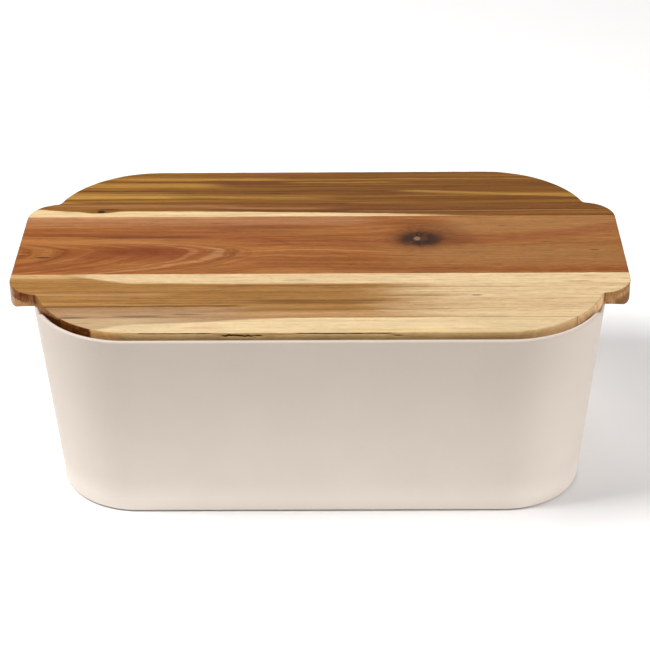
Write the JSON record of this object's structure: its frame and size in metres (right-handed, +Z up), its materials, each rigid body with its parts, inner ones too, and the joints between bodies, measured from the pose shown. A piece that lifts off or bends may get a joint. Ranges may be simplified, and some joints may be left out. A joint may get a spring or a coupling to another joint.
{
  "type": "bread bin",
  "caption": "Bread bin: a rounded rectangular moulded tub that widens upwards, closed by a loose wooden board with a hand grip at each end that doubles as a chopping board.",
  "frame": {"origin": "middle of the tub's underside, where the bin stands", "axes": "+X along the length towards one hand grip, +Y across the width to the rear, +Z up; the narrow front edge stave is at -Y"},
  "size_m": [0.38, 0.2238, 0.1318],
  "materials": {
    "tub_moulding": "matt cream moulding, faintly mottled",
    "rear_stave_wood": "oiled hardwood, olive-brown stripes with a pale sapwood edge",
    "middle_stave_wood": "oiled hardwood, reddish brown with a knot",
    "front_stave_wood": "oiled hardwood, brown fading to pale sapwood",
    "front_edge_stave_wood": "oiled hardwood, mostly pale sapwood"
  },
  "bodies": {
    "tub": {"tub": "tub_moulding"},
    "lid": {"rear_stave": "rear_stave_wood", "middle_stave": "middle_stave_wood", "front_stave": "front_stave_wood", "front_edge_stave": "front_edge_stave_wood"}
  },
  "joints": [
    {"name": "lid_lift", "type": "slide", "parent": "tub", "child": "lid", "axis": [0, 0, 1], "range_m": [0, 0.15]}
  ]
}
